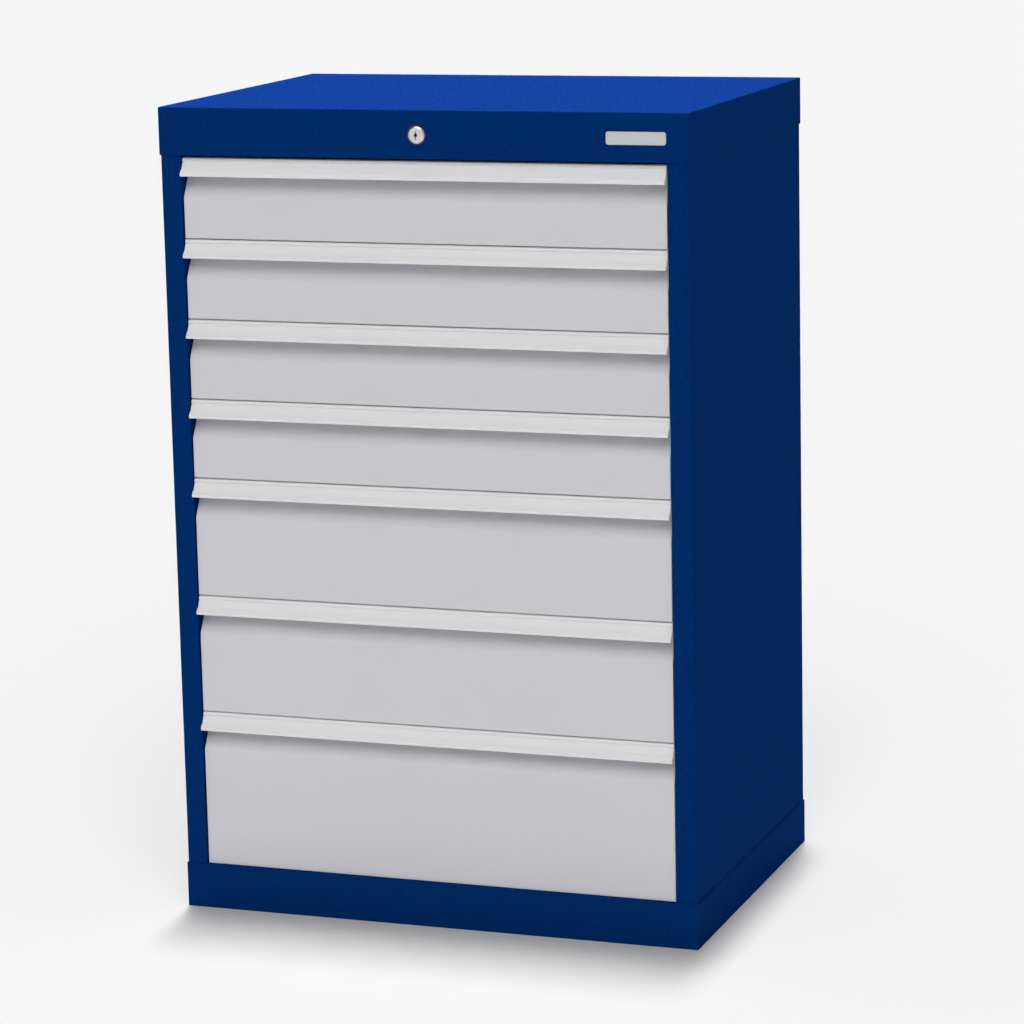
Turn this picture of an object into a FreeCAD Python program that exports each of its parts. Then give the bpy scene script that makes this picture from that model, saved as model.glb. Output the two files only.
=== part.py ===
import FreeCAD, Part
import os
import Sketcher
from FreeCAD import Vector

# Steel drawer cabinet with seven drawers on full-extension slides and one central lock.
# Millimetres, +Z up, the front looks along -Y, the origin is the middle of the footprint on the floor.

document = FreeCAD.newDocument("DrawerCabinet")

# Driving sizes
sizes = {
    # sheet metal of the housing
    "bandSheet": 1.5,  # cover and plinth
    "panelSheet": 1.2,  # side panels and bottom plate
    "backSheet": 1.0,
    "edgeRadius": 1.5,  # outside bend of every folded edge that shows
    "coverHeight": 59,  # band round the top
    "coverReturn": 22,  # folded back under the front band
    "coverLip": 12,  # folded up behind it
    "baseHeight": 57,  # band round the foot
    "footFlange": 25,  # folded in under the foot
    "bottomLip": 18,  # folded down at the front and back of the bottom plate
    "postWidth": 26,  # face of each front post
    "postReturn": 30,  # depth of the post beside the drawers
    "postLip": 16,
    "rearFlange": 20,
    "uprightSheet": 1.5,
    "uprightWidth": 30,
    "uprightGap": 0.8,  # between an upright and the side panel
    "slotWidth": 4,
    "slotHeight": 12,
    "slotPitch": 25,
    "slotStart": 18,  # first slot above the bottom plate
    # drawers, from the top one down
    "height1": 101,
    "height2": 100,
    "height3": 100,
    "height4": 100,
    "height5": 150,
    "height6": 150,
    "height7": 200,
    "frontWidth": 622,
    "sideGap": 1.5,  # between a front and the post
    "coverGap": 2,  # between the stack of drawers and the cover
    "frontGap": 0.5,  # above and below each front
    "faceSetback": 3,  # drawer face behind the post face
    "uprightSetback": 18,  # face behind the grip, behind the post face
    "frontSheet": 1.2,
    "frontReturn": 16,  # folded in at the back of the front, where the tray is welded on
    "returnGap": 1.1,  # between that fold and the wall under the grip
    "recessHeight": 26,  # height of the slanted finger recess under the grip
    "recessBend": 8,
    "frontEdge": 0.8,
    # grip rail
    "gripWall": 1.6,
    "gripBead": 1.8,
    "gripTopSetback": 7,  # label face at its top edge, behind the band face
    "gripTopDrop": 1.5,  # label face below the top of the grip
    "gripTopEdge": 0.5,  # start of the bead below the top of the label face
    "gripLean": 9,  # how far the label face leans out
    "gripFall": 18,  # over this height
    "gripNoseDrop": 3.5,  # foot of the grip below the label face
    "gripNoseProud": 3,  # lip in front of the label face
    "gripNoseRise": 3.2,
    "gripFootInset": 0.6,
    "gripFootWidth": 3.8,
    "gripTail": 15.5,  # height of the flange on the drawer front
    "gripEdge": 0.8,
    "labelThickness": 0.8,
    "labelSlot": 1.0,
    "labelHeight": 14.2,
    "labelOverlap": 1.1,
    "labelEndGap": 3,
    # trays
    "traySheet": 1.0,
    "trayLift": 8,  # tray floor above the foot of its front
    "trayTopGap": 16,  # tray rim below the top of its front
    "catchWidth": 30,
    "catchSheet": 1.5,
    "catchReach": 22,
    "catchLip": 16,
    # full-extension slides, each in three members
    "slideSpace": 13.5,  # tray side to the upright
    "slideLength": 400,
    "slideStart": 7.5,  # behind the front wall of the tray
    "slideEnd": 0.5,  # before its back wall
    "slideLevel": 38,
    "slideSheet": 1.2,
    "slideGap": 0.3,
    "ballGap": 3.2,
    "innerHeight": 28.4,
    "railGap": 2.3,  # between the cabinet member and the tray
    "cageGap": 0.05,
    "cageSide": 2.8,  # between a ball cage and the web of the middle member
    "cageLength": 180,
    # lock
    "lockSpace": 58.3,  # tray back wall to the back panel
    "lockRise": 29,  # lock above the lower edge of the band
    "lockHeadRadius": 10.2,
    "lockHeadLength": 4,
    "lockCollarRim": 2.2,
    "lockCollarLength": 1.6,
    "lockBarrelRadius": 9.4,
    "lockBarrelLength": 26,
    "lockHoleGap": 0.2,
    "plugRadius": 6.45,
    "plugGap": 0.05,
    "plugProud": 0.4,
    "plugTail": 3,
    "keySlotWidth": 1.2,
    "keySlotHeight": 9.6,
    "keyHoleRadius": 2.1,
    "keySlotDepth": 16,
    "nutWall": 2.4,
    "nutLength": 4,
    "shaftWidth": 6,
    "crankRadius": 10,
    "crankSheet": 4,
    "crankPinRadius": 3,
    "crankPinSlack": 0.5,
    "crankPinProud": 3,
    "crankGap": 4,  # between the crank and the lock bar
    "journalWall": 0.75,  # over the corners of the shaft
    "journalGap": 0.05,
    "bearingSheet": 3,
    "bearingWidth": 50,
    "bearingDrop": 15,
    "bearingFoot": 26,
    "barWidth": 30,
    "barSheet": 3,
    "barGap": 0.3,
    "barHeadWidth": 40,
    "barHeadRise": 12,
    "barHeadDrop": 14,
    "barToBack": 11.3,  # lock bar to the back panel
    "barTail": 1,  # below its lowest hook
    "hookWidth": 20,
    "hookSheet": 2,
    "hookPlay": 1.5,  # between a hook and its catch when locked
    "hookGap": 2,  # between a hook and its catch when unlocked
    "hookRise": 17,
    "hookFloor": 7,  # hook arm above the foot of its drawer
    "guideWall": 3,
    "guideSide": 9,
    "guideHeight": 14,
    "guideLevel": 62,
    # bare name plate
    "plateWidth": 74,
    "plateHeight": 15.5,
    "plateThickness": 1.4,
    "plateCorner": 3,
    "plateRim": 1.3,
    "plateRecess": 0.5,
    "plateRise": 28.5,
}
sheet = document.addObject("Spreadsheet::Sheet", "Sizes")
for row, (alias, value) in enumerate(sizes.items(), start=1):
    sheet.set(f"A{row}", alias)
    sheet.set(f"B{row}", str(value))
    sheet.setAlias(f"B{row}", alias)
document.recompute()

drawerNumbers = range(1, 8)
layout = document.addObject("App::VarSet", "Layout")


def place(name, expression):
    layout.addProperty("App::PropertyFloat", name, "Layout")
    layout.setExpression(name, expression)
    return f"Layout.{name}"


def size(name):
    return f"Sizes.{name}"


# Places across the cabinet, measured from its middle
openingHalf = place("openingHalf", "Sizes.frontWidth / 2 + Sizes.sideGap")
panelOuter = place("panelOuter", "Layout.openingHalf + Sizes.postWidth")
panelInner = place("panelInner", "Layout.panelOuter - Sizes.panelSheet")
bandOuter = place("bandOuter", "Layout.panelOuter + Sizes.bandSheet")
trayHalf = place("trayHalf", "Layout.openingHalf - Sizes.slideSpace")

# Places from the front to the back
place("frontDepth", "Sizes.uprightSetback + 2 * Sizes.frontSheet + Sizes.returnGap")
place("trayDepth", "Sizes.slideStart + Sizes.slideLength + Sizes.slideEnd")
fullDepth = place(
    "fullDepth",
    "2 * Sizes.bandSheet + Layout.frontDepth + Layout.trayDepth + Sizes.lockSpace"
    " + Sizes.backSheet + Sizes.panelSheet",
)
bandFace = place("bandFace", "-Layout.fullDepth / 2")
postFace = place("postFace", "Layout.bandFace + Sizes.bandSheet")
drawerFace = place("drawerFace", "Layout.postFace + Sizes.faceSetback")
gripSeat = place("gripSeat", "Layout.postFace + Sizes.uprightSetback")
trayFront = place("trayFront", "Layout.postFace + Layout.frontDepth")
trayBack = place("trayBack", "Layout.trayFront + Layout.trayDepth")
panelBack = place("panelBack", "-Layout.postFace")
backOuter = place("backOuter", "Layout.panelBack - Sizes.panelSheet")
backInner = place("backInner", "Layout.backOuter - Sizes.backSheet")
uprightFront = place("uprightFront", "Layout.postFace + Sizes.postReturn")
slideFront = place("slideFront", "Layout.trayFront + Sizes.slideStart")
slideBack = place("slideBack", "Layout.slideFront + Sizes.slideLength")
barBack = place("barBack", "Layout.backInner - Sizes.barToBack")
barFront = place("barFront", "Layout.barBack - Sizes.barSheet")
hookFront = place(
    "hookFront",
    "Layout.trayBack + Sizes.catchReach - Sizes.catchSheet - Sizes.hookPlay - Sizes.hookSheet",
)
crankBack = place("crankBack", "Layout.barFront - Sizes.crankGap")
crankFront = place("crankFront", "Layout.crankBack - Sizes.crankSheet")
plugFront = place("plugFront", "Layout.bandFace - Sizes.lockHeadLength - Sizes.plugProud")
plugBack = place("plugBack", "Layout.bandFace + Sizes.lockBarrelLength + Sizes.plugTail")

# Levels, from the floor up
place("foot7", "Sizes.baseHeight")
for number in reversed(drawerNumbers[:-1]):
    place(f"foot{number}", f"Layout.foot{number + 1} + Sizes.height{number + 1}")
coverFoot = place("coverFoot", "Layout.foot1 + Sizes.height1 + Sizes.coverGap")
topFace = place("topFace", "Layout.coverFoot + Sizes.coverHeight")
panelTop = place("panelTop", "Layout.topFace - Sizes.bandSheet")
lockLevel = place("lockLevel", "Layout.coverFoot + Sizes.lockRise")
catchLevel = place("catchLevel", "Sizes.hookFloor + Sizes.hookRise + Sizes.hookGap + Sizes.catchLip")
crankSwing = place("crankSwing", "Sizes.crankRadius * sqrt(0.5)")
journalRadius = place("journalRadius", "Sizes.shaftWidth * sqrt(0.5) + Sizes.journalWall")

# Grip: its height, how its face leans, and where the label starts
gripHeight = place("gripHeight", "Sizes.gripTopDrop + Sizes.gripFall + Sizes.gripNoseDrop")
gripNose = place(
    "gripNose",
    "Layout.bandFace + Sizes.gripTopSetback - Sizes.gripLean - Sizes.gripNoseProud",
)
gripRun = place("gripRun", "sqrt(Sizes.gripLean ^ 2 + Sizes.gripFall ^ 2)")
leanSine = place("leanSine", "Sizes.gripLean / Layout.gripRun")
leanCosine = place("leanCosine", "Sizes.gripFall / Layout.gripRun")
labelStart = place("labelStart", "(Layout.gripRun - Sizes.labelHeight) / 2")

# Slide members: half widths and half heights
railWeb = place("railWeb", "Layout.openingHalf - Sizes.slideSheet")
railFlangeEnd = place("railFlangeEnd", "Layout.trayHalf + Sizes.railGap")
middleWeb = place("middleWeb", "Layout.railWeb - Sizes.slideGap")
middleWebInner = place("middleWebInner", "Layout.middleWeb - Sizes.slideSheet")
middleFlangeEnd = place("middleFlangeEnd", "Layout.trayHalf + Sizes.slideSheet + Sizes.slideGap")
innerFlangeEnd = place("innerFlangeEnd", "Layout.middleWebInner - Sizes.slideGap")
cageEnd = place("cageEnd", "Layout.middleWebInner - Sizes.cageSide")
innerHalf = place("innerHalf", "Sizes.innerHeight / 2")
middleHalf = place("middleHalf", "Layout.innerHalf + Sizes.ballGap + Sizes.slideSheet")
railHalf = place("railHalf", "Layout.middleHalf + Sizes.ballGap + Sizes.slideSheet")
document.recompute()


# Building blocks
def startBody(label):
    body = document.addObject("PartDesign::Body", label)
    body.Label = label
    return body


def sketchOn(body, name, plane, lift="0"):
    sketch = body.newObject("Sketcher::SketchObject", f"{body.Name}_{name}")
    support = next(item for item in body.Origin.OriginFeatures if item.Role == plane)
    sketch.AttachmentSupport = (support, [""])
    sketch.MapMode = "FlatFace"
    sketch.setExpression("AttachmentOffset.Base.z", lift)
    return sketch


def fixPoint(sketch, geometry, end, across, up):
    """Ties one point of a sketch to a pair of expressions."""
    count = sketch.ConstraintCount
    for kind, expression in (("DistanceX", across), ("DistanceY", up)):
        value = float(layout.evalExpression(expression))
        sketch.addConstraint(Sketcher.Constraint(kind, -1, 1, geometry, end, value))
        sketch.renameConstraint(count, f"{kind}{geometry}")
        sketch.setExpression(f"Constraints.{kind}{geometry}", expression)
        count += 1


def addOutline(sketch, corners):
    """Adds one closed outline of straight runs; each corner is a pair of expressions."""
    first = sketch.GeometryCount
    points = []
    for across, up in corners:
        points.append(Vector(layout.evalExpression(across), layout.evalExpression(up), 0))
    total = len(points)
    for index in range(total):
        sketch.addGeometry(Part.LineSegment(points[index], points[(index + 1) % total]))
    for index in range(total):
        following = first + (index + 1) % total
        sketch.addConstraint(Sketcher.Constraint("Coincident", first + index, 2, following, 1))
    for index, (across, up) in enumerate(corners):
        fixPoint(sketch, first + index, 1, across, up)


def rectangle(left, right, low, high):
    return [(left, low), (right, low), (right, high), (left, high)]


def addCircle(sketch, across, up, radius):
    centre = Vector(layout.evalExpression(across), layout.evalExpression(up), 0)
    circle = Part.Circle(centre, Vector(0, 0, 1), layout.evalExpression(radius))
    geometry = sketch.addGeometry(circle)
    fixPoint(sketch, geometry, 3, across, up)
    count = sketch.ConstraintCount
    sketch.addConstraint(Sketcher.Constraint("Radius", geometry, layout.evalExpression(radius)))
    sketch.renameConstraint(count, f"Radius{geometry}")
    sketch.setExpression(f"Constraints.Radius{geometry}", radius)


def pad(body, sketch, length, reverse=False, symmetric=False):
    feature = body.newObject("PartDesign::Pad", f"{sketch.Name}_pad")
    feature.Profile = sketch
    feature.setExpression("Length", length)
    feature.Reversed = reverse
    feature.SideType = "Symmetric" if symmetric else "One side"
    document.recompute()
    return feature


def pocket(body, sketch, length, reverse=False, symmetric=False):
    before = body.Shape.Volume
    feature = body.newObject("PartDesign::Pocket", f"{sketch.Name}_pocket")
    feature.Profile = sketch
    feature.setExpression("Length", length)
    feature.Reversed = reverse
    feature.SideType = "Symmetric" if symmetric else "One side"
    document.recompute()
    if not body.Shape.Volume < before - 1e-3:
        raise RuntimeError(f"{feature.Name} cuts nothing")
    return feature


def revolve(body, sketch):
    feature = body.newObject("PartDesign::Revolution", f"{sketch.Name}_turned")
    feature.Profile = sketch
    feature.ReferenceAxis = (sketch, ["H_Axis"])
    feature.Angle = 360
    document.recompute()
    return feature


def near(first, second):
    return abs(first - second) < 0.01


def straightEdges(shape, axis, chosen):
    """Names of the straight edges along one axis whose middle point is chosen."""
    names = []
    for index, edge in enumerate(shape.Edges, start=1):
        if edge.Curve.TypeId != "Part::GeomLine":
            continue
        along = edge.Vertexes[-1].Point - edge.Vertexes[0].Point
        if abs(along.normalize().dot(axis)) < 0.999:
            continue
        if chosen(edge.CenterOfGravity):
            names.append(f"Edge{index}")
    return names


def roundOff(body, names, radius, label):
    base = body.Tip
    feature = body.newObject("PartDesign::Fillet", f"{body.Name}_{label}")
    feature.Base = (base, names)
    feature.setExpression("Radius", radius)
    document.recompute()
    return feature


alongX = Vector(1, 0, 0)
alongY = Vector(0, 1, 0)
alongZ = Vector(0, 0, 1)


def value(expression):
    return float(layout.evalExpression(expression))


# Housing
def makeTopCover():
    body = startBody("top_cover")
    block = sketchOn(body, "block", "XY_Plane", coverFoot)
    halfDepth = f"{fullDepth} / 2"
    addOutline(block, rectangle(f"-{bandOuter}", bandOuter, f"-{halfDepth}", halfDepth))
    pad(body, block, size("coverHeight"))
    corners = straightEdges(body.Shape, alongZ, lambda middle: True)
    roundOff(body, corners, size("edgeRadius"), "corners")
    top = value(topFace)
    rim = [
        f"Edge{index}"
        for index, edge in enumerate(body.Shape.Edges, start=1)
        if near(edge.BoundBox.ZMin, top) and near(edge.BoundBox.ZMax, top)
    ]
    roundOff(body, rim, size("edgeRadius"), "rim")
    hollow = sketchOn(body, "hollow", "XY_Plane", coverFoot)
    inside = f"({halfDepth} - Sizes.bandSheet)"
    addOutline(hollow, rectangle(f"-{panelOuter}", panelOuter, f"-{inside}", inside))
    pocket(body, hollow, "Sizes.coverHeight - Sizes.bandSheet", reverse=True)
    rail = sketchOn(body, "rail", "YZ_Plane")
    lipFace = f"{postFace} + Sizes.coverReturn"
    railCorners = [
        (postFace, coverFoot),
        (lipFace, coverFoot),
        (lipFace, f"{coverFoot} + Sizes.coverLip"),
        (f"{lipFace} - Sizes.bandSheet", f"{coverFoot} + Sizes.coverLip"),
        (f"{lipFace} - Sizes.bandSheet", f"{coverFoot} + Sizes.bandSheet"),
        (postFace, f"{coverFoot} + Sizes.bandSheet"),
    ]
    addOutline(rail, railCorners)
    pad(body, rail, f"2 * {openingHalf}", symmetric=True)
    hole = sketchOn(body, "lock_hole", "XZ_Plane", f"-{postFace}")
    addCircle(hole, "0", lockLevel, "Sizes.lockBarrelRadius + Sizes.lockHoleGap")
    pocket(body, hole, "2 * Sizes.bandSheet", reverse=True, symmetric=True)


def makeBasePlinth():
    body = startBody("base_plinth")
    block = sketchOn(body, "block", "XY_Plane")
    halfDepth = f"{fullDepth} / 2"
    addOutline(block, rectangle(f"-{bandOuter}", bandOuter, f"-{halfDepth}", halfDepth))
    pad(body, block, size("baseHeight"))
    corners = straightEdges(body.Shape, alongZ, lambda middle: True)
    roundOff(body, corners, size("edgeRadius"), "corners")
    hollow = sketchOn(body, "hollow", "XY_Plane", size("bandSheet"))
    inside = f"({halfDepth} - Sizes.bandSheet)"
    addOutline(hollow, rectangle(f"-{panelOuter}", panelOuter, f"-{inside}", inside))
    pocket(body, hollow, size("baseHeight"), reverse=True)
    mouth = sketchOn(body, "mouth", "XY_Plane")
    clearHalf = f"({bandOuter} - Sizes.footFlange)"
    clearDepth = f"({halfDepth} - Sizes.footFlange)"
    addOutline(mouth, rectangle(f"-{clearHalf}", clearHalf, f"-{clearDepth}", clearDepth))
    pocket(body, mouth, size("baseHeight"), reverse=True)


def makeBottomPlate():
    body = startBody("bottom_plate")
    plate = sketchOn(body, "plate", "XY_Plane", "Sizes.baseHeight - Sizes.panelSheet")
    notch = f"{postFace} + Sizes.postReturn"
    plateCorners = [
        (f"-{openingHalf}", postFace),
        (openingHalf, postFace),
        (openingHalf, notch),
        (panelInner, notch),
        (panelInner, backInner),
        (f"-{panelInner}", backInner),
        (f"-{panelInner}", notch),
        (f"-{openingHalf}", notch),
    ]
    addOutline(plate, plateCorners)
    pad(body, plate, size("panelSheet"))
    lips = sketchOn(body, "lips", "YZ_Plane")
    low = "Sizes.baseHeight - Sizes.bottomLip"
    high = size("baseHeight")
    addOutline(lips, rectangle(postFace, f"{postFace} + Sizes.panelSheet", low, high))
    addOutline(lips, rectangle(f"{backInner} - Sizes.panelSheet", backInner, low, high))
    pad(body, lips, f"2 * {openingHalf}", symmetric=True)


def makeSidePanel(label, side):
    body = startBody(label)
    profile = sketchOn(body, "profile", "XY_Plane", size("bandSheet"))
    returnEnd = f"{postFace} + Sizes.postReturn"
    lipEnd = f"({openingHalf} + Sizes.postLip)"
    profileCorners = [
        (lipEnd, returnEnd),
        (openingHalf, returnEnd),
        (openingHalf, postFace),
        (panelOuter, postFace),
        (panelOuter, panelBack),
        (f"({panelOuter} - Sizes.rearFlange)", panelBack),
        (f"({panelOuter} - Sizes.rearFlange)", backOuter),
        (panelInner, backOuter),
        (panelInner, f"{postFace} + Sizes.panelSheet"),
        (f"({openingHalf} + Sizes.panelSheet)", f"{postFace} + Sizes.panelSheet"),
        (f"({openingHalf} + Sizes.panelSheet)", f"{returnEnd} - Sizes.panelSheet"),
        (lipEnd, f"{returnEnd} - Sizes.panelSheet"),
    ]
    addOutline(profile, [(f"{side} * {across}", along) for across, along in profileCorners])
    pad(body, profile, f"{panelTop} - Sizes.bandSheet")
    outer = value(panelOuter)
    inner = value(openingHalf)
    front = value(postFace)
    back = value(panelBack)

    def folded(middle):
        atCorner = near(abs(middle.x), outer) and (near(middle.y, front) or near(middle.y, back))
        return atCorner or (near(abs(middle.x), inner) and near(middle.y, front))

    bends = straightEdges(body.Shape, alongZ, folded)
    roundOff(body, bends, "min(Sizes.edgeRadius; Sizes.panelSheet * 1.1)", "bends")


def makeBackPanel():
    body = startBody("back_panel")
    plate = sketchOn(body, "plate", "XY_Plane", size("bandSheet"))
    addOutline(plate, rectangle(f"-{panelInner}", panelInner, backInner, backOuter))
    pad(body, plate, f"{panelTop} - Sizes.bandSheet")


def makeUprights(label, side):
    body = startBody(label)
    profile = sketchOn(body, "profile", "XY_Plane", size("baseHeight"))
    backStart = f"({slideBack} - Sizes.uprightWidth)"
    flangeEnd = f"({panelInner} - Sizes.uprightGap)"
    webBack = f"({openingHalf} + Sizes.uprightSheet)"
    for start in (uprightFront, backStart):
        end = f"{start} + Sizes.uprightWidth"
        channel = [
            (openingHalf, start),
            (flangeEnd, start),
            (flangeEnd, f"{start} + Sizes.uprightSheet"),
            (webBack, f"{start} + Sizes.uprightSheet"),
            (webBack, f"{end} - Sizes.uprightSheet"),
            (flangeEnd, f"{end} - Sizes.uprightSheet"),
            (flangeEnd, end),
            (openingHalf, end),
        ]
        addOutline(profile, [(f"{side} * {across}", along) for across, along in channel])
    height = f"({coverFoot} - Sizes.baseHeight)"
    pad(body, profile, height)
    slots = sketchOn(body, "slots", "YZ_Plane", f"{side} * {openingHalf}")
    low = "Sizes.baseHeight + Sizes.slotStart"
    for start in (uprightFront, backStart):
        left = f"{start} + (Sizes.uprightWidth - Sizes.slotWidth) / 2"
        addOutline(slots, rectangle(left, f"{left} + Sizes.slotWidth", low, f"{low} + Sizes.slotHeight"))
    cut = pocket(body, slots, "2 * Sizes.uprightSheet", reverse=side > 0)
    pattern = body.newObject("PartDesign::LinearPattern", f"{label}_slot_row")
    pattern.Originals = [cut]
    pattern.Direction = (slots, ["V_Axis"])
    steps = f"floor(({height} - 2 * Sizes.slotStart) / Sizes.slotPitch)"
    pattern.setExpression("Length", f"Sizes.slotPitch * {steps}")
    pattern.setExpression("Occurrences", f"{steps} + 1")
    body.Tip = pattern
    document.recompute()


def makeNamePlate():
    body = startBody("name_plate")
    face = sketchOn(body, "face", "XZ_Plane", f"-{bandFace}")
    left = f"({openingHalf} - Sizes.plateWidth)"
    low = f"({coverFoot} + Sizes.plateRise - Sizes.plateHeight / 2)"
    high = f"({low} + Sizes.plateHeight)"
    addOutline(face, rectangle(left, openingHalf, low, high))
    pad(body, face, size("plateThickness"))
    corners = straightEdges(body.Shape, alongY, lambda middle: True)
    roundOff(body, corners, size("plateCorner"), "corners")
    inset = sketchOn(body, "inset", "XZ_Plane", f"-{bandFace} + Sizes.plateThickness")
    rim = size("plateRim")
    insetCorners = rectangle(f"{left} + {rim}", f"{openingHalf} - {rim}", f"{low} + {rim}", f"{high} - {rim}")
    addOutline(inset, insetCorners)
    pocket(body, inset, size("plateRecess"))


# Slides
def channel(side, web, webInner, flangeEnd, half):
    """One channel in section: web towards the panel, flanges towards the tray."""
    level = size("slideLevel")
    sheetSize = size("slideSheet")
    corners = [
        (web, f"{level} - {half}"),
        (web, f"{level} + {half}"),
        (flangeEnd, f"{level} + {half}"),
        (flangeEnd, f"{level} + {half} - {sheetSize}"),
        (webInner, f"{level} + {half} - {sheetSize}"),
        (webInner, f"{level} - {half} + {sheetSize}"),
        (flangeEnd, f"{level} - {half} + {sheetSize}"),
        (flangeEnd, f"{level} - {half}"),
    ]
    return [(f"{side} * ({across})", up) for across, up in corners]


def makeRails(label, side):
    body = startBody(label)
    for number in drawerNumbers:
        section = sketchOn(body, f"section{number}", "XZ_Plane", f"-{slideFront}")
        corners = channel(side, openingHalf, railWeb, railFlangeEnd, railHalf)
        foot = f"Layout.foot{number}"
        addOutline(section, [(across, f"{foot} + {up}") for across, up in corners])
        pad(body, section, size("slideLength"), reverse=True)


def makeInnerSlides(number):
    body = startBody(f"drawer_{number}_slide_inner")
    section = sketchOn(body, "section", "XZ_Plane", f"-{slideFront}")
    webInner = f"{trayHalf} + Sizes.slideSheet"
    for side in (-1, 1):
        corners = channel(side, trayHalf, webInner, innerFlangeEnd, innerHalf)
        addOutline(section, corners)
    pad(body, section, size("slideLength"), reverse=True)
    return body


def makeMiddleSlides(number):
    body = startBody(f"drawer_{number}_slide_middle")
    section = sketchOn(body, "section", "XZ_Plane", f"-{slideFront}")
    for side in (-1, 1):
        addOutline(section, channel(side, middleWeb, middleWebInner, middleFlangeEnd, middleHalf))
    pad(body, section, size("slideLength"), reverse=True)
    level = size("slideLevel")
    thickness = "(Sizes.ballGap - Sizes.cageGap - Sizes.slideGap)"
    outerCage = f"({middleHalf} + Sizes.cageGap)"
    innerCage = f"({innerHalf} + Sizes.slideGap)"
    rows = (
        ("outer_cages", f"{slideBack} - Sizes.cageLength", outerCage),
        ("inner_cages", slideFront, innerCage),
    )
    for name, front, offset in rows:
        strips = sketchOn(body, name, "XZ_Plane", f"-({front})")
        for side in (-1, 1):
            for way in (-1, 1):
                start = f"{level} + {way} * {offset}"
                end = f"{level} + {way} * ({offset} + {thickness})"
                left = f"{side} * {middleFlangeEnd}"
                addOutline(strips, rectangle(left, f"{side} * {cageEnd}", start, end))
        pad(body, strips, size("cageLength"), reverse=True)
    return body


# Drawers, each modelled with its foot at zero and then lifted to its place
def trayPlate(number, name, corners, low, high):
    plate = startBody(f"drawer_{number}_tray_{name}")
    outline = sketchOn(plate, "outline", "XY_Plane", low)
    addOutline(outline, corners)
    pad(plate, outline, f"{high} - ({low})")
    return plate


def makeTray(number):
    """A tray welded up from flat sheets, with the lock's catch on its back wall."""
    low = size("trayLift")
    wall = size("traySheet")
    floor = f"{low} + {wall}"
    high = f"(Sizes.height{number} - Sizes.trayTopGap)"
    inside = f"({trayHalf} - {wall})"
    plates = [
        trayPlate(number, "floor", rectangle(f"-{trayHalf}", trayHalf, trayFront, trayBack), low, floor),
        trayPlate(number, "left", rectangle(f"-{trayHalf}", f"-{inside}", trayFront, trayBack), floor, high),
        trayPlate(number, "right", rectangle(inside, trayHalf, trayFront, trayBack), floor, high),
        trayPlate(
            number, "fore", rectangle(f"-{inside}", inside, trayFront, f"{trayFront} + {wall}"), floor, high
        ),
        trayPlate(
            number, "back", rectangle(f"-{inside}", inside, f"{trayBack} - {wall}", trayBack), floor, high
        ),
    ]
    catch = startBody(f"drawer_{number}_tray_catch")
    bent = sketchOn(catch, "bent", "YZ_Plane")
    level = catchLevel
    end = f"{trayBack} + Sizes.catchReach"
    catchCorners = [
        (trayBack, level),
        (f"{end} - Sizes.catchSheet", level),
        (f"{end} - Sizes.catchSheet", f"{level} - Sizes.catchLip"),
        (end, f"{level} - Sizes.catchLip"),
        (end, f"{level} + Sizes.catchSheet"),
        (trayBack, f"{level} + Sizes.catchSheet"),
    ]
    addOutline(bent, catchCorners)
    pad(catch, bent, size("catchWidth"), symmetric=True)
    tray = document.addObject("Part::Compound", f"drawer_{number}_tray")
    tray.Links = plates + [catch]
    return tray


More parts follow.
